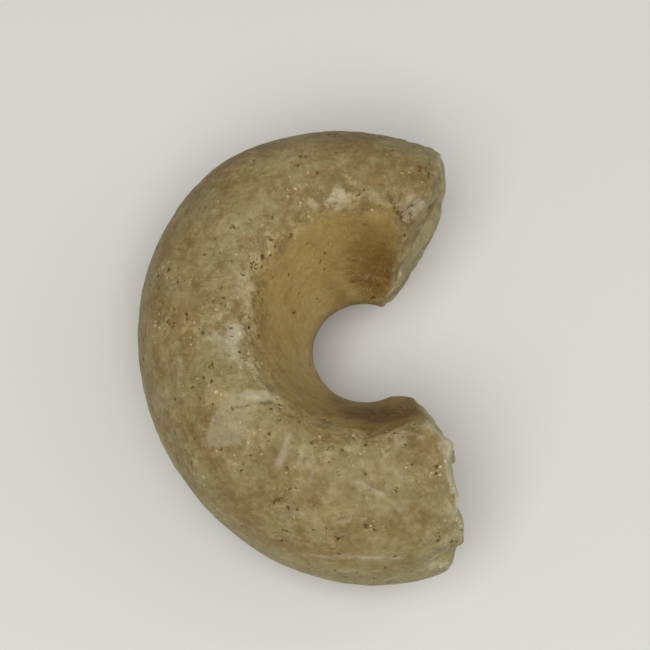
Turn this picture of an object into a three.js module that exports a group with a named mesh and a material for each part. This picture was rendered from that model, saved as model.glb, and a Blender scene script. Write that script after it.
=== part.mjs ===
import * as THREE from "three";
import { mergeVertices } from "three/addons/utils/BufferGeometryUtils.js";

// What is left of a perforated stone: a thick ring of pale, translucent stone, rounded outside
// and bored from both faces, so that the hole is an hourglass with its waist half way through.
// The ring broke across, about two thirds of it is left, and it lies on its worn underside.
// Millimetres and radians. +Z is up, the bore runs along Z, and the break faces look to +X.

// Driving sizes
const outerDiameter = 107.6;
const thickness = 55.4;
const waistHeight = 27; // the narrowest place of the bore, above the underside
const waistDiameter = 25.2;
const upperMouthDiameter = 57;
const lowerMouthDiameter = 54;
const mouthShift = 2.2; // the upper mouth lies this far to +Y of the waist
const coreDiameter = 62; // the ring that the section is measured from
const innerReach = 26; // how far the rounded top would run inwards, were there no bore
const wornDepth = 1.4; // what lying and use have taken off the underside

// The outline isn't quite round: it lies to one side of the bore and is drawn out along one line.
const outlineShift = 2.8;
const outlineShiftTowards = THREE.MathUtils.degToRad(202);
const outlineDraw = 2.9;
const outlineDrawTowards = THREE.MathUtils.degToRad(121);

// Two low swellings of the outline: where each is, how high it stands and its half width.
const swellings = [
  { around: 131, height: 1.0, width: 17 },
  { around: 66, height: 1.2, width: 10 },
];

// How square the section is, and how crisply its sides meet: larger is sharper.
const sectionSquareness = 2.15;
const edgeCrispness = 11;

// The two arms. A break line gives, at shares of the way from the waist to the rim, how far the
// arm reaches past the bore's axis, and the lean how much the break face leans back above its
// crest. Below its crest the face is undercut.
const arms = {
  north: {
    side: 1,
    searchFrom: THREE.MathUtils.degToRad(100),
    searchTo: THREE.MathUtils.degToRad(15),
    breakLine: [
      [0, 6],
      [0.14, 10.6],
      [0.3, 13.9],
      [0.42, 17.2],
      [0.6, 19.8],
      [0.86, 20.4],
      [0.94, 25],
      [1, 20],
    ],
    lean: [
      [0, 0.42],
      [0.12, 0.42],
      [0.25, 0.27],
      [0.4, 0.19],
      [0.6, 0.12],
      [1, 0],
    ],
    crest: 4,
    undercut: 0.12,
    waves: { depth: 0.6, across: 0.22, up: 0.13, phase: 0.9 },
  },
  south: {
    side: -1,
    searchFrom: THREE.MathUtils.degToRad(260),
    searchTo: THREE.MathUtils.degToRad(345),
    breakLine: [
      [-0.1, 3],
      [-0.05, 7],
      [0, 10.8],
      [0.06, 13],
      [0.15, 16.3],
      [0.22, 17.9],
      [0.28, 18.9],
      [0.34, 20],
      [0.38, 20.9],
      [0.44, 19.7],
      [0.54, 19.8],
      [0.7, 21.4],
      [0.84, 22.5],
      [0.9, 22.4],
      [0.96, 21.5],
      [1.01, 21.3],
      [1.04, 20],
      [1.06, 17.5],
    ],
    lean: [
      [0, 0.3],
      [0.15, 0.3],
      [0.3, 0.2],
      [0.42, 0.06],
      [0.6, 0.02],
      [1, 0],
    ],
    crest: 9,
    undercut: 0.14,
    waves: { depth: 0.5, across: 0.2, up: 0.17, phase: 2.1 },
  },
};

// A ledge on the south arm, near the rim: what lies above it has broken back further. It starts
// further out the higher it is, and drops over a width, all three as shares of the arm.
const ledge = {
  fromShare: 0.83,
  slant: 0.005,
  width: 0.12,
  height: 6,
  setBack: 5,
  softness: 4.5,
};

// Flakes struck or worn off, each a shallow bowl. A turn of 0 is the rim, and 90 is the top.
const scars = [
  { around: 213, turn: 78, bowl: 30, depth: 1.3 },
  { around: 168, turn: 262, bowl: 26, depth: 0.9 },
  { around: 246, turn: 285, bowl: 34, depth: 0.9 },
  { arm: "north", turn: 97, bowl: 9, depth: 1.3 },
  { arm: "north", turn: 28, bowl: 15, depth: 1.2 },
  { arm: "south", turn: 215, bowl: 12, depth: 1.4 },
];

// How finely the skin is divided: round the section, along the ring, and in from each break's edge
const turnSteps = 64;
const ringSteps = 52;
const breakSteps = 11;
const breakSpacing = 0.75; // a power of the share: under 1 draws the break's rows to its edge

const waistRadius = waistDiameter / 2;
const outerRadius = outerDiameter / 2;
const coreRadius = coreDiameter / 2;
const topRise = thickness - waistHeight;
const bottomRise = waistHeight + wornDepth;

// Distance from the bore's axis to the outline, at an angle round it.
function outlineRadius(around) {
  let radius =
    outerRadius +
    outlineShift * Math.cos(around - outlineShiftTowards) +
    outlineDraw * Math.cos(2 * (around - outlineDrawTowards));
  for (const swelling of swellings) {
    const aside = THREE.MathUtils.radToDeg(around) - swelling.around;
    radius += swelling.height * Math.exp(-((aside / swelling.width) ** 2));
  }
  return radius;
}

// Broad, shallow unevenness of the two faces, left by shaping the stone by hand, as a share of the
// section's reach. The outline and the waist are clear of it.
function unevenness(around, turn) {
  return (
    Math.sin(turn) ** 2 *
    (0.012 * Math.sin(3 * around + 2 * turn + 1.0) +
      0.009 * Math.sin(7 * around - 2 * turn + 0.6) +
      0.006 * Math.sin(11 * around + 3 * turn + 2.2))
  );
}

// Distance from the core ring to the skin, in the direction that a turn gives. Each side of the
// section is a pull inwards, the rounded outside and the two cones of the bore, and together they
// blend into one closed line.
function sectionReach(around, turn) {
  const out = Math.cos(turn);
  const up = Math.sin(turn);
  const width = out > 0 ? outlineRadius(around) - coreRadius : innerReach;
  const height = up > 0 ? topRise : bottomRise;
  const rounded =
    (Math.abs(out / width) ** sectionSquareness + Math.abs(up / height) ** sectionSquareness) **
    (1 / sectionSquareness);

  const toWaist = (coreRadius - waistRadius) * 2 ** (1 / edgeCrispness);
  const coneTip = coreRadius - toWaist;
  const upperMouth = upperMouthDiameter / 2 + mouthShift * Math.sin(around);
  const upperSlope = (upperMouth - coneTip) / topRise;
  const lowerSlope = (lowerMouthDiameter / 2 - coneTip) / bottomRise;
  const upperCone = Math.max(0, up * upperSlope - out) / toWaist;
  const lowerCone = Math.max(0, -up * lowerSlope - out) / toWaist;

  const pull =
    rounded ** edgeCrispness + upperCone ** edgeCrispness + lowerCone ** edgeCrispness;
  return pull ** (-1 / edgeCrispness) * (1 + unevenness(around, turn));
}

// A point of the unbroken ring's skin. The underside is worn flat.
function ringPoint(around, turn) {
  const reach = sectionReach(around, turn);
  const fromAxis = coreRadius + reach * Math.cos(turn);
  const height = Math.max(reach * Math.sin(turn), -waistHeight);
  return new THREE.Vector3(fromAxis * Math.cos(around), fromAxis * Math.sin(around), height);
}

// The ring's outward direction at a point of its skin.
function ringNormal(around, turn) {
  const step = 0.01;
  const here = ringPoint(around, turn);
  const along = ringPoint(around + step, turn).sub(here);
  const over = ringPoint(around, turn + step).sub(here);
  return along.cross(over).normalize();
}

// A smooth line through [place, value] pairs: a cubic between neighbours, level beyond the ends.
function smoothThrough(pairs, place) {
  const last = pairs.length - 1;
  if (place <= pairs[0][0]) return pairs[0][1];
  if (place >= pairs[last][0]) return pairs[last][1];
  const slopeAt = (i) => {
    const before = pairs[Math.max(i - 1, 0)];
    const after = pairs[Math.min(i + 1, last)];
    return (after[1] - before[1]) / (after[0] - before[0]);
  };
  const i = pairs.findIndex((pair) => pair[0] > place) - 1;
  const span = pairs[i + 1][0] - pairs[i][0];
  const t = (place - pairs[i][0]) / span;
  return (
    pairs[i][1] * (1 + 2 * t) * (1 - t) ** 2 +
    slopeAt(i) * span * t * (1 - t) ** 2 +
    pairs[i + 1][1] * t * t * (3 - 2 * t) -
    slopeAt(i + 1) * span * t * t * (1 - t)
  );
}

// 0 below zero and x above it, with the corner rounded off.
function easedRamp(x, softness) {
  return (x + Math.hypot(x, softness)) / 2;
}

// How far an arm's break face lies past the bore's axis, at a distance across and a height. It
// follows the break line at its crest, leans back above, is undercut below, and has low waves.
function breakReach(arm, y, z) {
  const share = (arm.side * y - waistRadius) / (outerRadius - waistRadius);
  const lean = smoothThrough(arm.lean, share);
  const height = z - arm.crest;
  const { depth, across, up, phase } = arm.waves;
  const wave = Math.abs(Math.sin(across * y + up * z + phase)) - 0.5;
  const ripple = Math.abs(Math.sin(1.6 * across * y - 1.9 * up * z)) - 0.5;
  let reach = smoothThrough(arm.breakLine, share);
  reach -= lean * easedRamp(height, 3) + arm.undercut * easedRamp(-height, 3);
  reach += depth * (wave + ripple / 2);
  if (arm === arms.south) {
    const overLedge = z - ledge.height;
    const from = ledge.fromShare + ledge.slant * overLedge;
    const outwards = THREE.MathUtils.smoothstep(share, from, from + ledge.width);
    const above = Math.min(1, easedRamp(overLedge, ledge.softness) / ledge.softness);
    reach -= ledge.setBack * outwards * above;
  }
  return reach;
}

// The angle at which a line of the ring's skin meets an arm's break face, by halving.
function breakAngle(arm, turn) {
  let inside = arm.searchFrom;
  let outside = arm.searchTo;
  for (let i = 0; i < 40; i++) {
    const middle = (inside + outside) / 2;
    const point = ringPoint(middle, turn);
    if (point.x < breakReach(arm, point.y, point.z)) inside = middle;
    else outside = middle;
  }
  return inside;
}

// A scar as a bowl: the centre of its sphere, its direction, its radius and its rim's radius.
function bowlOf(scar) {
  const turn = THREE.MathUtils.degToRad(scar.turn);
  const around = scar.arm
    ? breakAngle(arms[scar.arm], turn)
    : THREE.MathUtils.degToRad(scar.around);
  const facing = ringNormal(around, turn);
  if (scar.arm) facing.add(new THREE.Vector3(1, 0, 0)).normalize();
  const centre = ringPoint(around, turn).addScaledVector(facing, scar.bowl - scar.depth);
  return { centre, facing, radius: scar.bowl };
}

// Moves a point that stands inside a bowl's sphere back onto the bowl.
function cutByBowl(point, bowl) {
  const from = point.clone().sub(bowl.centre);
  const along = from.dot(bowl.facing);
  const aside = from.lengthSq() - along * along;
  if (aside >= bowl.radius ** 2) return;
  const floor = -Math.sqrt(bowl.radius ** 2 - aside);
  if (along > floor) point.addScaledVector(bowl.facing, floor - along);
}

// The edge of an arm's break: where each line round the section ends, and the middle of them.
function breakEdge(arm) {
  const angles = [];
  const middle = { y: 0, z: 0 };
  for (let i = 0; i < turnSteps; i++) {
    const turn = (i / turnSteps) * 2 * Math.PI;
    angles.push(breakAngle(arm, turn));
    const point = ringPoint(angles[i], turn);
    middle.y += point.y / turnSteps;
    middle.z += point.z / turnSteps;
  }
  return { angles, middle };
}

// A point of an arm's break face, from its middle (share 0) to its edge (share 1).
function breakPoint(arm, edge, column, share) {
  const turn = (column / turnSteps) * 2 * Math.PI;
  const rim = ringPoint(edge.angles[column], turn);
  const y = THREE.MathUtils.lerp(edge.middle.y, rim.y, share ** breakSpacing);
  const z = THREE.MathUtils.lerp(edge.middle.z, rim.z, share ** breakSpacing);
  return new THREE.Vector3(breakReach(arm, y, z), y, z);
}

// The stone's skin is a sphere's, pulled over the shape: its poles are the middles of the two
// break faces, and its rows run in from the breaks' edges and along the ring.
function stoneGeometry() {
  const rows = ringSteps + 2 * breakSteps;
  const skin = new THREE.SphereGeometry(1, turnSteps, rows);
  const north = breakEdge(arms.north);
  const south = breakEdge(arms.south);
  const bowls = scars.map(bowlOf);
  const position = skin.getAttribute("position");
  for (let i = 0; i < position.count; i++) {
    const row = Math.floor(i / (turnSteps + 1));
    const column = (i % (turnSteps + 1)) % turnSteps;
    let point;
    if (row < breakSteps) {
      point = breakPoint(arms.north, north, column, row / breakSteps);
    } else if (row > rows - breakSteps) {
      point = breakPoint(arms.south, south, column, (rows - row) / breakSteps);
    } else {
      const along = (row - breakSteps) / ringSteps;
      const around = THREE.MathUtils.lerp(north.angles[column], south.angles[column], along);
      point = ringPoint(around, (column / turnSteps) * 2 * Math.PI);
    }
    bowls.forEach((bowl) => cutByBowl(point, bowl));
    position.setXYZ(i, point.x, point.y, point.z);
  }
  skin.deleteAttribute("normal");
  skin.deleteAttribute("uv");
  const geometry = mergeVertices(skin, 1e-3);
  geometry.computeVertexNormals();
  return geometry;
}

// The stone rests on z = 0, with the middle of its outline's box over the origin.
function restOnOrigin(mesh) {
  mesh.geometry.computeBoundingBox();
  const { min, max } = mesh.geometry.boundingBox;
  mesh.position.set(-(min.x + max.x) / 2, -(min.y + max.y) / 2, waistHeight);
}

const honeyStone = new THREE.MeshStandardMaterial({
  color: 0x8b7955,
  roughness: 0.55,
  metalness: 0,
});

const stone = new THREE.Mesh(stoneGeometry(), honeyStone);
stone.name = "stone";
restOnOrigin(stone);

const perforatedStone = new THREE.Group();
perforatedStone.add(stone);

export default perforatedStone;
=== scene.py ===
import bpy
import numpy as np
from mathutils import Matrix, Vector


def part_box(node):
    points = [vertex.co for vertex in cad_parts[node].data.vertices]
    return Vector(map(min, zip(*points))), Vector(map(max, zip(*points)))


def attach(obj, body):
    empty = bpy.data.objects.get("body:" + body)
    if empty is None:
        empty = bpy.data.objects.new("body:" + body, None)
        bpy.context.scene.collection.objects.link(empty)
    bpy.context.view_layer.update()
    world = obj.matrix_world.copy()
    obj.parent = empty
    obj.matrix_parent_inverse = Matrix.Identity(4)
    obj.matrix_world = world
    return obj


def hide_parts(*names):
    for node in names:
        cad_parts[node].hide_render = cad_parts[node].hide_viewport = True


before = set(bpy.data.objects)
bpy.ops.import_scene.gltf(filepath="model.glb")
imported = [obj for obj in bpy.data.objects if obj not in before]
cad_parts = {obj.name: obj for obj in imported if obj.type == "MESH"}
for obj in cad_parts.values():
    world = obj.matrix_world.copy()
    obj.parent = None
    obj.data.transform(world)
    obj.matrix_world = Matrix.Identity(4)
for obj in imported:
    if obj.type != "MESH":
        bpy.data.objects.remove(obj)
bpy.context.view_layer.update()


# The stone: what is left of a thick ring, pecked and ground round from one pale, translucent
# cobble, and bored from both faces until the two funnels met in a narrow waist. It broke across
# both arms, its lip is battered, and it lies on the flat that wear has put on its underside.

# Its sizes in millimetres. The bore's axis is the Z axis here, and its waist is at height 0.
OUTER_RADIUS = 53.8
TOP_RISE = 28.4
BOTTOM_RISE = 28.4
UNDERSIDE = -27.0
WAIST_RADIUS = 12.6
UPPER_MOUTH = 28.5
LOWER_MOUTH = 27.0
MOUTH_SHIFT = 2.2
CORE_RADIUS = 31.0
INNER_REACH = 26.0
SQUARENESS = 2.15
CRISPNESS = 11.0

# Low swellings of its outline: where each is in degrees, how high it stands and its half width.
SWELLINGS = [(131, 1.0, 17), (66, 1.2, 10)]

# How finely its skin is divided: round the section, along the ring, and in from a break's edge. The
# turns crowd together on the upper side by that share and spread out underneath.
TURNS = 264
CROWDING = 0.42
RING_ROWS = 286
BREAK_ROWS = 38

# How many times the search for a break's edge halves its stretch, and how many rounds of averaging
# wear the breaks' edges down.
HALVINGS = 40
WEAR_ROUNDS = 50


def outline_radius(around):
    """How far the rim is from the bore's axis: a circle that lies to one side of the bore, a
    cosine of twice the angle that draws it out along one line, and two low swellings, each a bell
    curve of the angle."""
    aside = 2.8 * np.cos(around - np.radians(202))
    drawn = 2.9 * np.cos(2 * (around - np.radians(121)))
    swelling = sum(
        height * np.exp(-(((around - np.radians(towards)) / np.radians(width)) ** 2))
        for towards, height, width in SWELLINGS
    )
    return OUTER_RADIUS + aside + drawn + swelling


def section(around, turn):
    """The section's reach from the core ring in the direction of a turn, and how much of it is
    bore. A superellipse gives the rounded outside, and two slanting lines the funnels; each is a
    pull, and the reach is the sum of their eleventh powers, taken to the power of minus an
    eleventh. The bore's share is the funnels' part of that sum."""
    out, up = np.cos(turn), np.sin(turn)
    width = np.where(out > 0, outline_radius(around) - CORE_RADIUS, INNER_REACH)
    height = np.where(up > 0, TOP_RISE, BOTTOM_RISE)
    rounded = (np.abs(out / width) ** SQUARENESS + np.abs(up / height) ** SQUARENESS) ** (
        1 / SQUARENESS
    )
    to_waist = (CORE_RADIUS - WAIST_RADIUS) * 2 ** (1 / CRISPNESS)
    tip = CORE_RADIUS - to_waist
    upper_slope = (UPPER_MOUTH + MOUTH_SHIFT * np.sin(around) - tip) / TOP_RISE
    lower_slope = (LOWER_MOUTH - tip) / BOTTOM_RISE
    upper = np.maximum(0, up * upper_slope - out) / to_waist
    lower = np.maximum(0, -up * lower_slope - out) / to_waist
    funnels = upper**CRISPNESS + lower**CRISPNESS
    pull = rounded**CRISPNESS + funnels
    uneven = np.sin(turn) ** 2 * (
        0.012 * np.sin(3 * around + 2 * turn + 1.0)
        + 0.009 * np.sin(7 * around - 2 * turn + 0.6)
        + 0.006 * np.sin(11 * around + 3 * turn + 2.2)
    )
    return pull ** (-1 / CRISPNESS) * (1 + uneven), funnels / pull


def ring_points(around, turn):
    """Points of the whole ring's skin: the section's reach laid off from the core ring, and cut
    level at the underside."""
    reach, _ = section(around, turn)
    from_axis = CORE_RADIUS + reach * np.cos(turn)
    height = np.maximum(reach * np.sin(turn), UNDERSIDE)
    return np.stack([from_axis * np.cos(around), from_axis * np.sin(around), height], -1)


def speckle(points, cell, draw):
    """Smooth random values from -1 to 1. The corners of a lattice with that cell size hold random
    numbers, 64 each way and then the same again, and a point takes those of the corners round it,
    each weighed by eased shares of the way between them. Every draw turns its lattice its own way,
    so that no two line up. It works in two dimensions and in three."""
    many = points.shape[-1]
    size = 64
    numbers = np.random.default_rng(draw)
    corners = numbers.uniform(-1, 1, (size,) * many)
    turned, _ = np.linalg.qr(numbers.normal(0, 1, (many, many)))
    place = points @ turned / cell
    base = np.floor(place).astype(int)
    share = place - base
    share = share * share * (3 - 2 * share)
    value = np.zeros(points.shape[:-1])
    for corner in np.ndindex((2,) * many):
        step = np.array(corner)
        weight = np.prod(np.where(step == 1, share, 1 - share), -1)
        at = np.moveaxis((base + step) % size, -1, 0)
        value += weight * corners[tuple(at)]
    return value


def smooth_through(pairs, place):
    """A smooth line through (place, value) pairs: between two of them a cubic whose slope at each
    is that of the line between its neighbours, and level beyond the ends."""
    at, value = np.array(pairs).T
    before = np.maximum(np.arange(len(at)) - 1, 0)
    after = np.minimum(np.arange(len(at)) + 1, len(at) - 1)
    slope = (value[after] - value[before]) / (at[after] - at[before])
    place = np.clip(place, at[0], at[-1])
    i = np.clip(np.searchsorted(at, place, side="right") - 1, 0, len(at) - 2)
    span = at[i + 1] - at[i]
    t = (place - at[i]) / span
    return (
        value[i] * (1 + 2 * t) * (1 - t) ** 2
        + slope[i] * span * t * (1 - t) ** 2
        + value[i + 1] * t * t * (3 - 2 * t)
        - slope[i + 1] * span * t * t * (1 - t)
    )


def eased_ramp(x, softness):
    """0 below zero and x above it, with the corner rounded off: half of x plus the root of x
    squared plus the softness squared."""
    return (x + np.hypot(x, softness)) / 2


def eased_step(x, low, high):
    """0 below low, 1 above high, and the smooth cubic step between."""
    t = np.clip((x - low) / (high - low), 0, 1)
    return t * t * (3 - 2 * t)


# The two arms. Each break line gives, at shares of the way from the waist to the rim, how far the
# arm reaches past the bore's axis, and each lean how much the break face leans back above its
# crest. The search runs from an angle that is inside the arm to one in the gap.
NORTH = {
    "side": 1,
    "search": np.radians([100, 15]),
    "line": [
        (0, 6), (0.14, 10.6), (0.3, 13.9), (0.42, 17.2), (0.6, 19.8), (0.86, 20.4), (0.94, 25),
        (1, 20),
    ],
    "lean": [(0, 0.42), (0.12, 0.42), (0.25, 0.27), (0.4, 0.19), (0.6, 0.12), (1, 0)],
    "crest": 4,
    "undercut": 0.12,
    "waves": (0.6, 0.22, 0.13, 0.9),
    "ledge": 0,
    "draw": 11,
}
SOUTH = {
    "side": -1,
    "search": np.radians([260, 345]),
    "line": [
        (-0.1, 3), (-0.05, 7), (0, 10.8), (0.06, 13), (0.15, 16.3), (0.22, 17.9), (0.28, 18.9),
        (0.34, 20), (0.38, 20.9), (0.44, 19.7), (0.54, 19.8), (0.7, 21.4), (0.84, 22.5),
        (0.9, 22.4), (0.96, 21.5), (1.01, 21.3), (1.04, 20), (1.06, 17.5),
    ],
    "lean": [(0, 0.3), (0.15, 0.3), (0.3, 0.2), (0.42, 0.06), (0.6, 0.02), (1, 0)],
    "crest": 9,
    "undercut": 0.14,
    "waves": (0.5, 0.2, 0.17, 2.1),
    "ledge": 6,
    "draw": 12,
}

# The south break's ledge: its height, and over what part of the way from waist to rim it comes in.
LEDGE_LEVEL = 6
LEDGE_START = 0.83
LEDGE_EASE = 0.12


def break_reach(arm, y, z):
    """How far an arm's break face lies past the bore's axis: its break line, less a lean times the
    height over the crest and an undercut times the depth below it, plus low angular waves and a
    hackly grain of three sizes. Near the rim the south arm's face has a ledge that runs slantwise,
    above which it is set back."""
    share = (arm["side"] * y - WAIST_RADIUS) / (OUTER_RADIUS - WAIST_RADIUS)
    lean = smooth_through(arm["lean"], share)
    height = z - arm["crest"]
    depth, across, up, phase = arm["waves"]
    wave = np.abs(np.sin(across * y + up * z + phase)) - 0.5
    ripple = np.abs(np.sin(1.6 * across * y - 1.9 * up * z)) - 0.5
    over_ledge = z - LEDGE_LEVEL
    above = np.minimum(1, eased_ramp(over_ledge, 2) / 2)
    past_start = share - LEDGE_START - 0.005 * over_ledge
    ledge = arm["ledge"] * eased_step(past_start, 0, LEDGE_EASE) * above
    place = np.stack([y, z], -1)
    hackle = (
        0.55 * np.abs(speckle(place, 6.5, arm["draw"]))
        + 0.18 * speckle(place, 3.1, arm["draw"] + 20)
        + 0.08 * speckle(place, 1.4, arm["draw"] + 40)
    )
    return (
        smooth_through(arm["line"], share)
        - lean * eased_ramp(height, 3)
        - arm["undercut"] * eased_ramp(-height, 3)
        + depth * (wave + ripple / 2)
        - ledge
        + hackle
        - 0.2
    )


def break_angles(arm, turn):
    """The angle round the bore at which each line of the skin meets an arm's break face, found by
    halving the stretch between an angle inside the stone and one outside it."""
    inside, outside = (np.full_like(turn, angle) for angle in arm["search"])
    for _ in range(HALVINGS):
        middle = (inside + outside) / 2
        point = ring_points(middle, turn)
        within = point[:, 0] < break_reach(arm, point[:, 1], point[:, 2])
        inside = np.where(within, middle, inside)
        outside = np.where(within, outside, middle)
    return inside


def break_points(arm, angles, turn, shares):
    """Points of a break face on rays from its middle to its edge: y and z lie at a share of the
    way, and x is the break's reach there."""
    edge = ring_points(angles, turn)
    middle = edge.mean(0)
    y = middle[1] + (edge[:, 1] - middle[1]) * shares[:, None]
    z = middle[2] + (edge[:, 2] - middle[2]) * shares[:, None]
    return np.stack([break_reach(arm, y, z), y, z], -1)


# The skin is one grid that closes round the section. Its rows run from the middle of the north
# break over its edge, along the ring, and over the south break's edge to its middle.
even_turn = np.arange(TURNS) / TURNS * 2 * np.pi
turn = even_turn + CROWDING * np.cos(even_turn)
north_ends = break_angles(NORTH, turn)
south_ends = break_angles(SOUTH, turn)
shares = (np.arange(1, BREAK_ROWS) / BREAK_ROWS) ** 0.85
along = np.arange(RING_ROWS + 1) / RING_ROWS
along = along - 0.25 * np.sin(2 * np.pi * along) / (2 * np.pi)
around = north_ends + (south_ends - north_ends) * along[:, None]
north_rows = break_points(NORTH, north_ends, turn, shares)
ring_rows = ring_points(around, turn[None, :])
south_rows = break_points(SOUTH, south_ends, turn, shares)[::-1]
grid = np.concatenate([north_rows, ring_rows, south_rows])
ROWS = len(grid)
from_axis = np.hypot(ring_rows[..., 0], ring_rows[..., 1])
ring_edge = from_axis * np.minimum(np.abs(around - north_ends), np.abs(around - south_ends))
break_edge = [
    np.linalg.norm(rows - rim, axis=-1)
    for rows, rim in ((north_rows, ring_rows[0]), (south_rows, ring_rows[-1]))
]
skin_edge = np.concatenate([-break_edge[0], ring_edge, -break_edge[1]])

# The edges of the breaks are barely worn, apart from the upper edge away from the bore, which is
# rubbed to a round shoulder on the north arm and a little less on the south one. Wear is rounds of
# averaging each row with the two beside it, held to the edge by a bell curve.
shoulder = eased_step(grid[..., 2], 2, 12) * (
    2.6 * eased_step(grid[..., 1], 24, 31) + 2.0 * eased_step(-grid[..., 1], 18, 26)
)
wear = np.exp(-((skin_edge / (0.5 + shoulder)) ** 2))[1:-1, :, None]
for _ in range(WEAR_ROUNDS):
    grid[1:-1] += wear * (grid[:-2] - 2 * grid[1:-1] + grid[2:]) / 4

poles = np.stack([
    break_points(NORTH, north_ends, turn, np.zeros(1))[0, 0],
    break_points(SOUTH, south_ends, turn, np.zeros(1))[0, 0],
])
points = np.concatenate([grid.reshape(-1, 3), poles])

# For each point of the skin: its angle round the bore, its turn round the section and its share
# of bore. How far it is from a break's edge is known already, and is negative on the break face.
ends = BREAK_ROWS - 1
skin_around = np.concatenate([
    np.repeat(north_ends[None], ends, 0), around, np.repeat(south_ends[None], ends, 0)
])
skin_turn = np.repeat(turn[None], ROWS, 0)
_, skin_bore = section(skin_around, skin_turn)


def per_point(values):
    """A grid's values as one list, and at its end those of the two poles: the means of the rows
    next to them."""
    return np.concatenate([values.ravel(), (values[0].mean(), values[-1].mean())])


bore = per_point(skin_bore)
edge = per_point(skin_edge)
broken = eased_step(-edge, -0.4, 0.4)
upper = per_point(np.sin(skin_turn))
lip = 4 * bore * (1 - bore) * eased_step(upper, 0.2, 0.6)

# The smooth pale part of each break: all of the south one, and the north one under a seam that
# rises with the distance from the bore and more steeply past a bend. Over the seam the break is
# rougher. Along the breaks the stone is chipped too, in a band that is wider up the north arm.
SEAM_START = 18.6
SEAM_LEVEL = 7.5
SEAM_BEND = 36
northing, level = points[:, 1], points[:, 2]
north_arm = northing > 0
past_bend = np.maximum(0, northing - SEAM_BEND)
seam_level = SEAM_LEVEL + 0.5 * (northing - SEAM_START) + 1.5 * past_bend
over_seam = level - seam_level + 1.2 * speckle(points, 3.0, 14)
under_seam = np.where(north_arm, 1 - eased_step(over_seam, -1, 1), 1)
strip = broken * under_seam
seam = np.where(north_arm, broken * np.exp(-((over_seam / 0.9) ** 2)), 0)
chipped_width = np.where(north_arm, 0.4 + 0.34 * np.maximum(0, northing - 20), 0.9)
facet = np.clip(1 - np.maximum(edge, 0) / chipped_width / 2, 0, 1)

# Quads between the rows, and a fan at each pole, all facing outwards.
corner = np.arange(ROWS * TURNS).reshape(ROWS, TURNS)
beside = np.roll(corner, -1, axis=1)
quads = np.stack([corner[:-1], corner[1:], beside[1:], beside[:-1]], -1).reshape(-1, 4)
north_fan = np.stack([np.full(TURNS, ROWS * TURNS), corner[0], beside[0]], -1)
south_fan = np.stack([np.full(TURNS, ROWS * TURNS + 1), beside[-1], corner[-1]], -1)


def outward(points):
    """Each point's outward direction: the sum of the cross products of its quads' diagonals."""
    first, second, third, fourth = (points[quads[:, i]] for i in range(4))
    facing = np.cross(third - first, fourth - second)
    total = np.zeros_like(points)
    for i in range(4):
        np.add.at(total, quads[:, i], facing)
    total[-2:] = (1, 0, 0)
    return total / np.linalg.norm(total, axis=1, keepdims=True)


# Flakes struck off it, each a shallow bowl: its angle round the bore, or the break whose edge it is
# on, and its turn round the section, both in degrees, then the radius of the bowl and how deep it
# bites. One on a break's edge faces partly towards the gap.
SCARS = [
    (168, 262, 26, 0.9),
    (246, 285, 34, 0.9),
    ("north", 97, 9, 1.3),
    ("north", 28, 15, 1.2),
    ("south", 215, 12, 1.4),
]


def bowl(place, turn_degrees, radius, depth):
    """A scar's sphere: its centre, which stands off the skin by the radius less the depth, and the
    direction it faces."""
    at_turn = np.radians([float(turn_degrees)])
    if place == "north":
        at = break_angles(NORTH, at_turn)
    elif place == "south":
        at = break_angles(SOUTH, at_turn)
    else:
        at = np.radians([float(place)])
    here = ring_points(at, at_turn)[0]
    facing = np.cross(
        ring_points(at + 0.01, at_turn)[0] - here, ring_points(at, at_turn + 0.01)[0] - here
    )
    facing /= np.linalg.norm(facing)
    if isinstance(place, str):
        facing = facing + (1, 0, 0)
        facing /= np.linalg.norm(facing)
    return here + facing * (radius - depth), facing


scarred = np.zeros(len(points))
for place, turn_degrees, radius, depth in SCARS:
    centre, facing = bowl(place, turn_degrees, radius, depth)
    offset = points - centre
    height = offset @ facing
    aside = (offset**2).sum(1) - height**2
    floor = -np.sqrt(np.maximum(radius**2 - aside, 0))
    cut = np.where(aside < radius**2, np.maximum(height - floor, 0), 0)
    points = points - cut[:, None] * facing
    scarred = np.maximum(scarred, eased_step(cut, 0, 0.15))

# The flake off the lip to the south west: struck from the west, where its edge is a sharp step,
# and feathering out to the east. A thin leaf of stone still stands along its north side, with a
# groove under it.
FLAKE_PLACE = np.array([-29.1, -22.9])
FLAKE_DEPTH = 0.75
LEAF_RISE = 0.35
GROOVE_DEPTH = 0.25
east, north = (points[:, :2] - FLAKE_PLACE).T
on_top = eased_step(points[:, 2], 12, 18)
inward = east + 8.2 - 0.05 * (north + 5) ** 2 + 0.5 * speckle(points, 2.4, 21)
abreast = on_top * eased_step(north, -7, -4.6) * eased_step(-north, -6.6, -5.8)
flaked = abreast * eased_step(inward, 0, 0.5) * (1 - eased_step(inward, 4, 13))
# Painted shadow at the foot of the flake's west step; it goes in with the dark lines.
step_foot_shadow = abreast * np.exp(-(((inward + 0.2) / 0.35) ** 2)) * eased_step(-north, -5, 0)
leaf = on_top * np.maximum(0, 1 - ((east - 4.6) / 5.2) ** 2 - ((north - 5.6) / 1.3) ** 2)
under_leaf = on_top * np.maximum(0, 1 - ((east - 3.4) / 4.6) ** 2 - ((north - 4.1) / 0.7) ** 2)
scarred = np.maximum(scarred, flaked)
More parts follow.
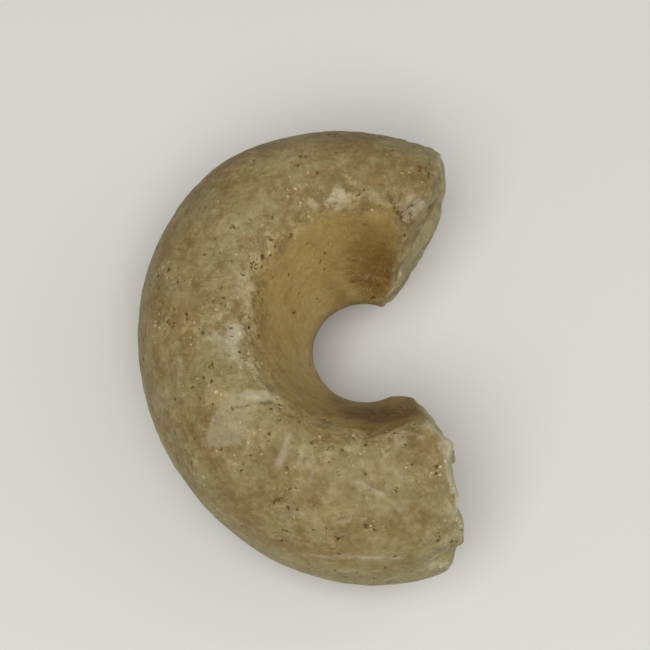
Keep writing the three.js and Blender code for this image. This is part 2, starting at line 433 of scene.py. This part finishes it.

# Its surface, as heights over the smooth skin in millimetres: a weathered, pecked outside, a lip
# battered into lumps, a bore rubbed nearly smooth, and breaks of low facets. How high a point
# stands for its kind of surface goes into its colour too, as painted shade in its hollows and
# painted highlight on its crests.
outside = (1 - bore) * (1 - broken)
pecked = (
    0.14 * speckle(points, 6.0, 1)
    + 0.1 * speckle(points, 2.7, 2)
    + 0.07 * speckle(points, 1.3, 3)
)
rubbed = 0.07 * speckle(points, 5.0, 4) + 0.03 * speckle(points, 1.5, 5)
battered = (
    0.4 * speckle(points, 3.4, 6)
    + 0.26 * speckle(points, 1.7, 7)
    - 0.35 * np.maximum(0, speckle(points, 2.2, 13))
)
facets = np.abs(speckle(points, 7.0, 15)) + 0.6 * np.abs(speckle(points, 3.1, 16))
fractured = eased_step(-edge, 0, 2.5) * (0.2 - eased_ramp(0.65 - facets, 0.3))
fresh = fractured + 0.1 * speckle(points, 1.3, 8)
knocked = np.maximum(lip, (1 - broken) * eased_step(facet, 0.4, 0.6) * eased_step(level, -4, 6))
rough = 0.4 * speckle(points, 3.2, 9) + 0.2 * speckle(points, 1.4, 10)
rough_break = broken * (1 - strip) * rough
relief = outside * pecked + bore * (1 - broken) * rubbed + knocked * battered
relief += broken * fresh + rough_break
raised = relief / (0.16 + 0.3 * knocked + 0.15 * broken)
relief += LEAF_RISE * np.sqrt(leaf) - FLAKE_DEPTH * flaked - GROOVE_DEPTH * under_leaf

# Pits where grains have dropped out: clusters at places on the upper side, given across the bore's
# axis, each with the radius of its largest pit. A pit's middle is the skin's point that lies
# nearest to its place as seen from above, and it is as wide down a slope as it is across.
PIT_CLUSTERS = [
    (15.3, 36.9, 0.8), (10.6, 29.0, 1.0), (-19.9, -40.9, 1.0), (-25.9, 1.7, 0.6),
    (-15.2, 42.3, 0.7), (-31.2, 23.2, 0.8), (-21.9, 20.2, 0.8), (-25.6, 14.1, 0.7),
    (-16.6, 7.2, 0.7), (16.9, -48.6, 0.6), (-22.5, -26.5, 0.5), (-7.0, -35.2, 0.5),
    (-20.0, -19.0, 0.6), (-35.9, -10.5, 0.7), (-20.6, -47.8, 0.6), (6.0, 41.5, 0.5),
    (-45.5, 0.1, 0.6), (-2.0, 31.0, 0.6), (9.3, 23.6, 0.7), (7.5, 27.6, 0.6),
    (-41.9, 1.9, 0.5), (-35.8, 4.7, 0.6), (-32.8, 3.4, 0.6), (-14.7, -32.0, 0.6),
    (-5.8, -29.7, 0.5), (-8.6, -29.5, 0.5), (-12.4, -27.9, 0.5), (-6.3, -49.0, 0.6),
    (-26.2, -10.8, 0.7), (-26.6, -2.5, 0.6), (-24.9, 8.5, 0.6), (-18.2, -47.3, 0.5),
]
PITS_IN_CLUSTER = 4
PIT_DEPTH = 0.5
draws = np.random.default_rng(5)
pitted = np.zeros(len(points))
for east, north, size in PIT_CLUSTERS:
    spread = draws.normal(0, 1.1 * size, (PITS_IN_CLUSTER, 2))
    spread[0] = 0
    sizes = size * draws.uniform(0.4, 0.8, PITS_IN_CLUSTER)
    sizes[0] = size
    for (right, far), radius in zip(spread, sizes):
        aside = np.hypot(points[:, 0] - east - right, points[:, 1] - north - far)
        centre = points[np.argmin(aside + 99 * (points[:, 2] < 0))]
        away = np.linalg.norm(points - centre, axis=1) / radius
        pitted = np.maximum(pitted, 1 - away**2)
relief -= PIT_DEPTH * pitted

points = points + outward(points) * relief[:, None]

# Strokes and veins paler than the rest, and dark lines, each from one place to another across the
# bore's axis, with its half width and its strength. Of the dark lines the first three are a crack
# across the north lip, and the one under the flake's leaf and the last one, along the south
# break's ledge, are painted shadow.
STROKES = [
    ((-19.9, -32.9), (-18.1, -27.3), 0.75, 0.65), ((-14.4, -29.0), (-15.6, -33.2), 0.45, 0.6),
    ((-12.4, -35.0), (-14.6, -38.5), 0.4, 0.5), ((-2.5, -37.7), (4.3, -40.9), 0.5, 0.6),
    ((4.3, -40.9), (7.3, -43.5), 0.5, 0.6), ((-12.7, -52.0), (-1.0, -52.7), 0.3, 0.6),
    ((-1.0, -52.7), (7.5, -52.8), 0.35, 0.7), ((-7.0, -45.8), (-4.2, -45.5), 0.35, 0.6),
    ((-16.6, -43.6), (-14.6, -43.8), 0.4, 0.5), ((3.0, -33.0), (8.4, -36.5), 0.5, 0.4),
    ((-30.8, 6.0), (-29.2, 12.0), 0.4, 0.4), ((-43.6, -14.0), (-42.8, -8.0), 0.4, 0.4),
    ((8.2, -25.6), (12.4, -27.8), 0.35, 0.4), ((-24.0, 38.4), (-17.0, 41.0), 0.4, 0.35),
]
CRACKS_AND_SHADOW_LINES = [
    ((3.2, 33.4), (4.6, 31.4), 0.2, 0.5), ((4.6, 31.4), (7.2, 28.0), 0.24, 0.8),
    ((7.2, 28.0), (9.7, 24.9), 0.24, 0.8), ((-30.9, -20.4), (-22.4, -19.1), 0.26, 0.75),
    ((-18.9, -33.2), (-17.2, -27.6), 0.2, 0.3), ((20.6, -49.6), (13.5, -51.6), 0.25, 0.45),
]


def drawn(lines):
    """How much each point has of lines drawn on the upper side: the bell curve of its distance from
    the nearest one, in half widths, times the strength."""
    strongest = np.zeros(len(points))
    for start, stop, half_width, strength in lines:
        start, run = np.array(start), np.array(stop) - start
        offset = points[:, :2] - start
        share = np.clip(offset @ run / (run @ run), 0, 1)
        wander = 0.5 * speckle(points, 1.6, 33)[:, None]
        away = np.linalg.norm(offset - share[:, None] * run + wander, axis=1) / half_width
        strongest = np.maximum(strongest, strength * np.exp(-(away**2)))
    return strongest * eased_step(points[:, 2], 2, 6)


stroked = np.maximum(drawn(STROKES), 0.5 * np.sqrt(leaf))

# Where its colour changes on the upper side: the place across the bore's axis and half the length
# and width of the patch in millimetres, its direction in degrees, and its strength. Its blotches
# are stronger where it is mottled, and where it is calm they are fainter and its flecks fewer.
PATCHES = {
    "chalky_and_highlight": [
        (-3.6, 33.8, 8, 1.6, -4, 0.3), (-1.5, 31, 14, 3.4, 0, 0.35),
        (-12.5, 29.3, 8, 2.0, 10, 0.65),
        (-30.8, -3.8, 6, 2.8, 85, 1.0), (-32.5, -4, 6, 4.2, 90, 0.5), (-27.2, 0, 11, 1.1, 92, 0.45),
        (-27.0, -11, 6, 1.4, 95, 0.4), (-24.8, -17.4, 4.6, 1.0, 4, 0.4),
        (18.8, -29.0, 3.2, 2.4, 80, 1.0), (10.6, 29.4, 3.6, 2.6, 20, 0.25),
        # The patch at (20.2, -40) runs along the rounded edge of the south break and is a painted
        # highlight.
        (20.2, -40, 2.4, 13, 0, 0.55), (-8, -31, 10, 2, 10, 0.35), (8, -29, 6, 3, 0, 0.35),
        (-29, -12, 5, 1.6, 100, 0.5), (17.5, -52.2, 5, 2.6, 12, 0.6),
    ],
    "cool": [
        (-29, 19, 15, 7, 55, 0.6), (-34, 4, 12, 4, 80, 0.5), (17, -51, 8, 5, 15, 0.9),
        (-37, -35, 14, 5, -50, 0.4), (12, -40, 11, 8, 0, 0.4), (18, 33, 2, 10, 0, 0.6),
        (15.0, -24.5, 5, 2.0, -50, 0.6), (18.5, -36, 1.8, 9, 0, 0.6),
        (2, -30, 12, 4, -5, 0.5), (-14, -34, 8, 5, 0, 0.5), (-20, -45, 10, 4, -15, 0.4),
        (-34, -8, 7, 5, 90, 0.4), (-5, 38, 10, 4, 0, 0.3), (-12, 7, 6, 3, 60, 0.8),
        (-14.5, -3, 3, 8, 0, 0.8), (-36.5, -1, 6, 3, 90, 0.7),
    ],
    "umber": [
        (4.0, 19.0, 11, 6.5, -40, 0.85), (6.0, 17.5, 5, 3.5, -60, 0.5),
        (0.5, 24, 10, 3.5, -10, 0.4),
        # The first two patches on this line and the one at (9.5, -19.5) lie on the bore's south
        # wall and are painted shade.
        (2, -18.7, 12, 5.4, -10, 1.0), (3, -23.8, 9, 1.8, -5, 0.5), (14.1, -38, 2.4, 2.4, 0, 0.4),
        (1.5, 15.8, 9, 3.6, -15, 0.85), (-6, 13.6, 5, 3, -30, 0.55), (-1.5, 20.5, 8, 5, -20, 0.5),
        (5.6, 17.5, 4.5, 2.6, -75, 1.0), (-24.5, 2, 8, 1.4, 92, 0.4), (9.5, -19.5, 5, 4, 0, 0.8),
        (-38.4, -19, 5, 1.5, 100, 0.5),
        (-15.5, -41, 6, 5, 0, 0.28), (-28, -36, 5, 4, 0, 0.22), (-20, -30, 4, 3, 40, 0.2),
        (-8, 48, 26, 3.5, 0, 0.35), (12, 41, 7, 3, -20, 0.25),
        (-19.9, -40.6, 2.6, 1.2, -20, 0.5), (-12, -18, 4, 3, 0, 0.3),
        (-24.5, -8, 5, 1.2, 95, 0.2), (8.8, 26.0, 4, 2, -70, 0.5),
    ],
    "rosy": [
        (-44, 2, 16, 6, 85, 0.6), (-40, 22, 8, 5, 60, 0.5), (-8, 44, 11, 3, 0, 0.5),
        (3, -24.5, 3, 1.4, 0, 0.9), (-22, 0, 12, 4, 90, 0.5), (8, 27, 5, 4, 30, 0.5),
        (-2, 27.5, 9, 2.5, 0, 0.5), (-12, -42, 9, 3, 0, 0.25), (-36, -24, 6, 4, 60, 0.5),
        (6, 41, 5, 3, 0, 0.5), (-34, 30, 5, 4, 40, 0.5), (8, -31, 4, 3, 0, 0.25),
    ],
    "mottled": [
        (-44, 2, 15, 8, 85, 1.0), (-38, -26, 12, 7, -55, 0.8), (-40, 22, 9, 6, 60, 0.8),
        (-2, 27, 13, 4, 0, 0.6), (-24, 2, 12, 4, 90, 0.6),
    ],
    "calm": [(-3, 43, 22, 6, -4, 0.8), (0, -44, 22, 6, 0, 0.4)],
}


def patched(patches):
    """How much of a colour each point has: for each patch the bell curve of the distances along
    and across it, with its outline made ragged by random values, and the strongest of them."""
    strongest = np.zeros(len(points))
    ragged = 1 + 0.45 * speckle(points, 3.5, 31) + 0.35 * speckle(points, 1.6, 32)
    for east, north, length, width, degrees, strength in patches:
        lean = np.radians(degrees)
        x, y = points[:, 0] - east, points[:, 1] - north
        along = (x * np.cos(lean) + y * np.sin(lean)) / length
        across = (y * np.cos(lean) - x * np.sin(lean)) / width
        share = np.exp(-(along**2 + across**2) * ragged)
        strongest = np.maximum(strongest, strength * share)
    return strongest * eased_step(points[:, 2], -4, 4)


# It is placed over the CAD solid, and nothing of it reaches under what it lies on.
low, high = (np.array(corner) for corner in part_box("stone"))
middle = (points.min(0) + points.max(0)) / 2
bore_axis = (low + high)[:2] / 2 - middle[:2] / 1000
places = points / 1000 + (*bore_axis, -UNDERSIDE / 1000)
places[:, 2] = np.maximum(places[:, 2], low[2])

stone_mesh = bpy.data.meshes.new("stone skin")
stone_mesh.from_pydata(
    places.tolist(), [], quads.tolist() + north_fan.tolist() + south_fan.tolist()
)
stone_mesh.polygons.foreach_set("use_smooth", np.ones(len(stone_mesh.polygons), bool))
stone_mesh.validate()
stone = bpy.data.objects.new("perforated_stone", stone_mesh)
bpy.context.scene.collection.objects.link(stone)

# The marks that its finish reads. The edges of the breaks get a painted glow of light passing
# through where the stone is thin, strongest under the seam and along it, and its skin low down on
# the outside gets a painted glow too. The patches fade out down the face of the south break.
thin_edge_glow = np.exp(-np.abs(edge) / 1.8) * (1 - bore * eased_step(level, -2, 4))
marks = {
    "bore": bore, "lip": lip, "scar": scarred, "pit": pitted, "strip": strip, "stroke": stroked,
    "edge": np.maximum(thin_edge_glow * (0.2 + 0.8 * under_seam), 0.8 * seam),
    "facet": facet, "raised": raised, "crack_and_shadow": np.maximum(drawn(CRACKS_AND_SHADOW_LINES), 0.5 * step_foot_shadow),
    # Painted shade deep in the narrow waist of the bore.
    "waist": bore * np.exp(-(((level + 0.5) / 3) ** 2)),
    "wall": bore * eased_step(level, 10, 18) * (1 - eased_step(northing, 12, 20)),
    "low": outside * eased_step(18 - level, 0, 20),
}
shown = 1 - broken * ~north_arm * eased_step(22 - level, 0, 5)
marks.update((name, patched(patches) * shown) for name, patches in PATCHES.items())
for name, values in marks.items():
    layer = stone_mesh.attributes.new(name, "FLOAT", "POINT")
    layer.data.foreach_set("value", values.astype(np.float32))


class Value:
    """A shader socket that takes part in Python arithmetic by adding Math nodes."""

    def __init__(self, finish, socket):
        self.finish = finish
        self.socket = socket

    def math(self, operation, first, second):
        made = self.finish.node(
            "ShaderNodeMath", {"operation": operation}, {0: first, 1: second}
        )
        return Value(self.finish, made.outputs[0])

    def __add__(self, other):
        return self.math("ADD", self, other)

    def __sub__(self, other):
        return self.math("SUBTRACT", self, other)

    def __rsub__(self, other):
        return self.math("SUBTRACT", other, self)

    def __mul__(self, other):
        return self.math("MULTIPLY", self, other)

    __radd__ = __add__
    __rmul__ = __mul__


class Finish:
    """A material and the few ways its nodes are made."""

    def __init__(self, name):
        self.material = bpy.data.materials.new(name)
        self.material.use_nodes = True
        self.tree = self.material.node_tree
        self.tree.nodes.clear()

    def node(self, kind, settings=None, sockets=None):
        """Adds a node of that type: its settings first, then its sockets' values or links."""
        made = self.tree.nodes.new(kind)
        for name, value in (settings or {}).items():
            setattr(made, name, value)
        for name, value in (sockets or {}).items():
            if isinstance(value, Value):
                self.tree.links.new(value.socket, made.inputs[name])
            else:
                made.inputs[name].default_value = value
        return made

    def attribute(self, name):
        made = self.node("ShaderNodeAttribute", {"attribute_name": name})
        return Value(self, made.outputs["Fac"])

    def noise(self, size, detail=3.0, rough=0.55, shift=0.0, warp=0.0):
        """Noise whose broadest lumps are about that many metres across, with its own shift, and
        drawn out into streaks where it is warped."""
        coordinates = self.node("ShaderNodeTexCoord")
        moved = self.node("ShaderNodeVectorMath", {"operation": "ADD"}, {
            0: Value(self, coordinates.outputs["Object"]), 1: (shift, shift, shift),
        })
        made = self.node("ShaderNodeTexNoise", None, {
            "Vector": Value(self, moved.outputs[0]),
            "Scale": 1 / size,
            "Detail": detail,
            "Roughness": rough,
            "Distortion": warp,
        })
        return Value(self, made.outputs["Fac"])

    def grains(self, cell, shift=0.0, stir=0.0):
        """Points scattered one to a cell that many metres across: how far the nearest is, in
        metres, and a random number from 0 to 1 that it carries. What is measured from is stirred
        about by a fine noise, that many metres at most, which makes the grains ragged."""
        coordinates = self.node("ShaderNodeTexCoord")
        place = Value(self, coordinates.outputs["Object"])
        noise = self.node("ShaderNodeTexNoise", None, {
            "Vector": place, "Scale": 1 / 0.0007, "Detail": 2.0, "Roughness": 0.6,
        })
        stirred = self.node("ShaderNodeVectorMath", {"operation": "MULTIPLY_ADD"}, {
            0: Value(self, noise.outputs["Color"]), 1: (stir, stir, stir), 2: place,
        })
        moved = self.node("ShaderNodeVectorMath", {"operation": "ADD"}, {
            0: Value(self, stirred.outputs[0]), 1: (shift, shift, shift),
        })
        made = self.node("ShaderNodeTexVoronoi", None, {
            "Vector": Value(self, moved.outputs[0]), "Scale": 1 / cell,
        })
        carried = self.node("ShaderNodeSeparateColor", None, {
            "Color": Value(self, made.outputs["Color"]),
        })
        return Value(self, made.outputs["Distance"]) * cell, Value(self, carried.outputs["Red"])

    def step(self, value, low, high):
        """0 at low, 1 at high, smooth between and level beyond; low may be the larger."""
        made = self.node("ShaderNodeMapRange", {"interpolation_type": "SMOOTHSTEP"}, {
            "Value": value, "From Min": low, "From Max": high,
        })
        return Value(self, made.outputs["Result"])

    def mix(self, share, under, over):
        """The colour under, with that share of the colour over."""
        made = self.node("ShaderNodeMix", {"data_type": "RGBA"}, {0: share, 6: under, 7: over})
        return Value(self, made.outputs[2])

    def bump(self, height, distance):
        """Normals for a height from 0 to 1 that stands for that many metres."""
        made = self.node("ShaderNodeBump", None, {"Height": height, "Distance": distance})
        return Value(self, made.outputs["Normal"])


def colour(red, green, blue):
    """A colour given as it looks on a screen, from 0 to 255, as linear light."""
    shares = np.array([red, green, blue]) / 255
    linear = np.where(shares <= 0.04045, shares / 12.92, ((shares + 0.055) / 1.055) ** 2.4)
    return (*linear.tolist(), 1.0)


# Its stone is waxy: brown and olive grounds that run into each other, with paler and darker
# blotches, dark specks where grains have gone, sparkling flecks and thin pale veins. It is chalky
# where it has been knocked, golden in the bore with umber where dirt has lain and umber as painted
# shade in the bore's waist and on its south wall, and pale green on the breaks. All of the bore but
# its chipped edges is stained.
BROWN = colour(129, 109, 70)
OLIVE = colour(136, 124, 86)
# A dark tone for blotches and grit, used also as painted shade in the hollows of the relief.
DARK_TONE_AND_SHADE = colour(92, 74, 34)
BRIGHT = colour(166, 152, 110)
ROSY = colour(134, 106, 66)
COOL = colour(138, 131, 94)
# Pale cream: chalk where it was knocked, used also for a painted glow at the breaks' thin edges and
# a painted highlight along the south break's edge.
PALE_CREAM = colour(181, 174, 150)
SCARRED = colour(153, 144, 119)
# Pale green of the fresh breaks, used also as a painted glow on the low outside flanks.
PALE_GREEN = colour(158, 150, 108)
GOLDEN = colour(157, 132, 74)
UMBER = colour(86, 57, 6)
# Dark dirt for specks and pits, used also for the cracks and the painted shadow lines.
DIRT_AND_SHADE = colour(80, 61, 22)
GLINT = colour(206, 192, 152)

honey = Finish("honey stone")
in_bore = honey.attribute("bore")
in_scar = honey.attribute("scar")
on_break = honey.attribute("strip")
on_lip = honey.attribute("lip")
near_edge = honey.attribute("edge")
chalky_and_highlight = honey.attribute("chalky_and_highlight")

ground = honey.noise(0.014, 4.0, 0.6, shift=0.3, warp=0.4)
blotch = honey.noise(0.0058, 4.0, 0.7, shift=0.9, warp=0.3)
spot = honey.noise(0.0024, 3.0, 0.7, shift=0.5, warp=0.3)
grit = honey.noise(0.0012, 2.0, 0.7, shift=2.9)
gather = honey.noise(0.008, 2.0, 0.6, shift=4.1)
vein = honey.noise(0.009, 3.0, 0.55, shift=5.3, warp=1.2)
ragged = (blotch - 0.5) * 1.5 + (spot - 0.5)
calm = honey.attribute("calm")
uneven = 0.8 + honey.attribute("mottled") * 0.35 - calm * 0.25 - in_bore * 0.4 - in_scar * 0.35

look = honey.mix(honey.step(ground + (blotch - 0.5) * 0.4, 0.42, 0.58), BROWN, OLIVE)
look = honey.mix(honey.step(honey.attribute("rosy") + ragged, 0.1, 0.8) * 0.45, look, ROSY)
look = honey.mix(honey.step(honey.attribute("cool") + ragged, 0.1, 0.8) * 0.5, look, COOL)
look = honey.mix(honey.step(in_scar + (spot - 0.5) * 0.4, 0.2, 0.7) * 0.55, look, SCARRED)
chipped = honey.step(honey.attribute("facet") + ragged * 0.35, 0.42, 0.52)
deep = honey.step(in_bore, 0.8, 1.0)
stained = honey.step(in_bore + ragged * 1.6 + deep * 0.8, 0.2, 1.1) * (1 - chipped)
look = honey.mix(stained * 0.7, look, GOLDEN)
look = honey.mix(on_break * (0.45 + spot * 0.5), look, PALE_GREEN)
# Painted glow on the low outside flanks.
look = honey.mix(honey.attribute("low") * 0.4, look, PALE_GREEN)
# Painted shade in the narrow waist of the bore.
look = honey.mix(honey.attribute("waist") * 0.45, look, UMBER)
# Umber patches: dirt where it has lain, and painted shade on the bore's south wall.
umber = honey.attribute("umber") * (1 - chipped * 0.8)
look = honey.mix(umber * 0.65 + honey.step(umber + ragged, 0.25, 0.9) * 0.25, look, UMBER)
daub = honey.noise(0.0036, 3.0, 0.65, shift=7.7)
look = honey.mix(honey.step(daub, 0.54, 0.6) * honey.attribute("wall") * 0.3, look, UMBER)
dark_blotch = honey.step(blotch + (spot - 0.5) * 0.5, 0.47, 0.4)
pale_blotch = honey.step(blotch + (spot - 0.5) * 0.7, 0.55, 0.63)
raised = honey.attribute("raised")
look = honey.mix(dark_blotch * uneven * 0.18, look, DARK_TONE_AND_SHADE)
look = honey.mix(pale_blotch * uneven * 0.19, look, BRIGHT)
look = honey.mix(honey.step(spot, 0.47, 0.36) * uneven * 0.24, look, DARK_TONE_AND_SHADE)
look = honey.mix(honey.step(spot, 0.54, 0.65) * uneven * 0.26, look, BRIGHT)
# Painted shade in the hollows of the relief and painted highlight on its crests.
look = honey.mix(honey.step(raised, -0.1, -1.1) * 0.28, look, DARK_TONE_AND_SHADE)
look = honey.mix(honey.step(raised, 0.1, 1.1) * 0.26, look, BRIGHT)
look = honey.mix(honey.step(grit, 0.48, 0.3) * (0.24 - in_bore * 0.1), look, DARK_TONE_AND_SHADE)
look = honey.mix(honey.step(grit, 0.52, 0.7) * (0.24 - in_bore * 0.1), look, BRIGHT)
# Chalk where it was knocked, and the painted highlight along the south break's edge.
look = honey.mix(honey.step(chalky_and_highlight + ragged, 0.15, 0.9) * 0.58, look, PALE_CREAM)
look = honey.mix(honey.step(on_lip + ragged * 2, 0.7, 1.4) * (0.32 - in_bore * 0.3), look, PALE_CREAM)
# Painted glow where light passes through the thin edges of the breaks and along the seam.
glowing_edge = honey.step(near_edge + ragged * 0.9, 0.3, 0.9)
look = honey.mix(near_edge * 0.14 + glowing_edge * 0.36, look, PALE_CREAM)
line = honey.step(vein, 0.488, 0.5) * honey.step(vein, 0.512, 0.5)
look = honey.mix(line * honey.step(gather, 0.48, 0.56) * 0.35, look, BRIGHT)
look = honey.mix(honey.attribute("stroke") * (0.4 + spot * 0.5), look, PALE_CREAM)

from_grain, grain_draw = honey.grains(0.0022, shift=0.7, stir=0.0018)
grain_reach = grain_draw * 0.00055 + (gather - 0.5) * 0.0014
hollow = honey.step(grain_reach - from_grain, 0.00004, 0.00022)
look = honey.mix(hollow * 0.85, look, DIRT_AND_SHADE)
crumb = honey.noise(0.0008, 2.0, 0.7, shift=6.3)
in_pit = honey.step(honey.attribute("pit") + (crumb - 0.5) * 3.0, 0.5, 0.85)
look = honey.mix(in_pit * 0.85, look, DIRT_AND_SHADE)
# The crack, and painted shadow under the leaf, at the foot of the flake's step and along the south
# ledge.
look = honey.mix(honey.attribute("crack_and_shadow"), look, DIRT_AND_SHADE)

from_flake, flake_draw = honey.grains(0.0015, shift=1.9, stir=0.0015)
flake_reach = flake_draw * 0.00034 + (gather - 0.5) * 0.0012 - in_bore * 0.00015
favoured = near_edge * 0.00034 + on_lip * 0.00015 + chalky_and_highlight * 0.0002 - calm * 0.0002
glint = honey.step(flake_reach - from_flake + favoured, 0, 0.0002)
look = honey.mix(glint * 0.55, look, GLINT)

height = blotch * 0.5 + spot * 0.4 + grit * 0.15 - hollow * 0.2 + glint * 0.1
waxy = honey.node("ShaderNodeBsdfPrincipled", None, {
    "Base Color": look,
    "Roughness": 0.62 - glint * 0.3 + blotch * 0.1 - stained * 0.1,
    "Normal": honey.bump(height, 0.0008),
    "IOR": 1.5,
    "Specular IOR Level": 0.14,
    "Sheen Weight": 0.02,
    "Subsurface Weight": 0.3,
    "Subsurface Radius": (1.0, 0.75, 0.4),
    "Subsurface Scale": 0.003,
})
honey.node("ShaderNodeOutputMaterial", None, {"Surface": Value(honey, waxy.outputs[0])})
stone_mesh.materials.append(honey.material)

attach(stone, "root")
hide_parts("stone")


# The floor: a plain pale sheet, far larger than the view.
FLOOR_HALF = 3.0
floor_mesh = bpy.data.meshes.new("floor")
floor_mesh.from_pydata(
    [(x * FLOOR_HALF, y * FLOOR_HALF, 0) for x, y in ((-1, -1), (1, -1), (1, 1), (-1, 1))],
    [],
    [(0, 1, 2, 3)],
)
floor = bpy.data.objects.new("floor", floor_mesh)
bpy.context.scene.collection.objects.link(floor)
pale = Finish("pale floor")
pale_shader = pale.node("ShaderNodeBsdfPrincipled", None, {
    "Base Color": colour(206, 205, 201),
    "Roughness": 0.85,
    "Specular IOR Level": 0.2,
})
pale.node("ShaderNodeOutputMaterial", None, {"Surface": Value(pale, pale_shader.outputs[0])})
floor_mesh.materials.append(pale.material)


# The light: a broad soft source high to the south, a weaker one to the east, and an even room.
STONE_MIDDLE = (0, 0, 0.025)


def soft_light(name, place, size, power):
    """A square lamp at a place in metres, turned to the middle of the stone."""
    lamp = bpy.data.lights.new(name, "AREA")
    lamp.size = size
    lamp.energy = power
    hung = bpy.data.objects.new(name, lamp)
    bpy.context.scene.collection.objects.link(hung)
    aim = Vector(STONE_MIDDLE) - Vector(place)
    turned = aim.to_track_quat("-Z", "Y").to_matrix().to_4x4()
    hung.matrix_world = Matrix.Translation(place) @ turned


soft_light("key", (-0.1, -0.34, 1.05), 0.8, 11.1)
soft_light("fill", (0.65, 0.1, 0.8), 0.9, 2.2)
room = bpy.data.worlds.new("room")
room.use_nodes = True
room.node_tree.nodes["Background"].inputs["Color"].default_value = colour(230, 226, 218)
room.node_tree.nodes["Background"].inputs["Strength"].default_value = 0.345
bpy.context.scene.world = room
bpy.context.scene.view_settings.view_transform = "Standard"


# The camera: over the stone and a little to its south, looking down at 15.5 degrees from upright.
# The bore's waist stands where it does in the photograph, right of the middle and under it.
CAMERA_DISTANCE = 0.52
CAMERA_TILT = np.radians(15.5)
PICTURE_SIDE = 650
PIXELS_PER_METRE = 4110
WAIST_RIGHT = 364.9 - PICTURE_SIDE / 2
WAIST_DOWN = 352.7 - PICTURE_SIDE / 2
SENSOR = 36

look_along = Vector((0, np.sin(CAMERA_TILT), -np.cos(CAMERA_TILT)))
rightwards = Vector((1, 0, 0))
upwards = rightwards.cross(look_along)
waist = Vector((*bore_axis, -UNDERSIDE / 1000))
camera_data = bpy.data.cameras.new("camera")
camera_data.sensor_width = SENSOR
camera_data.lens = SENSOR * PIXELS_PER_METRE * CAMERA_DISTANCE / PICTURE_SIDE
camera = bpy.data.objects.new("camera", camera_data)
bpy.context.scene.collection.objects.link(camera)
place = (
    waist
    - look_along * CAMERA_DISTANCE
    - rightwards * (WAIST_RIGHT / PIXELS_PER_METRE)
    + upwards * (WAIST_DOWN / PIXELS_PER_METRE)
)
turned = Matrix((rightwards, upwards, -look_along)).transposed().to_4x4()
camera.matrix_world = Matrix.Translation(place) @ turned
bpy.context.scene.camera = camera
